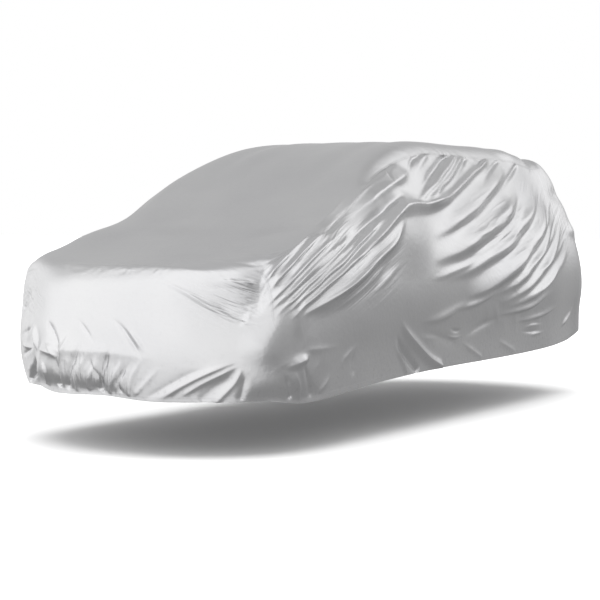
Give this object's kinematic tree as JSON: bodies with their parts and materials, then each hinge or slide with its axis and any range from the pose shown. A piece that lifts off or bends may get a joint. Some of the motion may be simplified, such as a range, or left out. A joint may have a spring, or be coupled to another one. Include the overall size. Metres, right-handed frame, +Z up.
{
  "type": "fitted car cover, held up by the roof of a car that is left out",
  "caption": "Full cover of silver coated cloth, hanging in the shape of a tall family car, open underneath, with taut folds from nose and door mirrors.",
  "frame": {"origin": "the underside of the cloth at the middle of the roof, where the car carries the cover", "axes": "+Y from the nose to the tail, +X to the car's left, +Z up"},
  "size_m": [2.0714, 4.865, 1.5028],
  "materials": {
    "silver_cloth": "plain woven polyester with a silver coating, satin sheen"
  },
  "bodies": {
    "root": {"top_panel": "silver_cloth", "side_panel_left": "silver_cloth", "side_panel_right": "silver_cloth"}
  },
  "joints": []
}
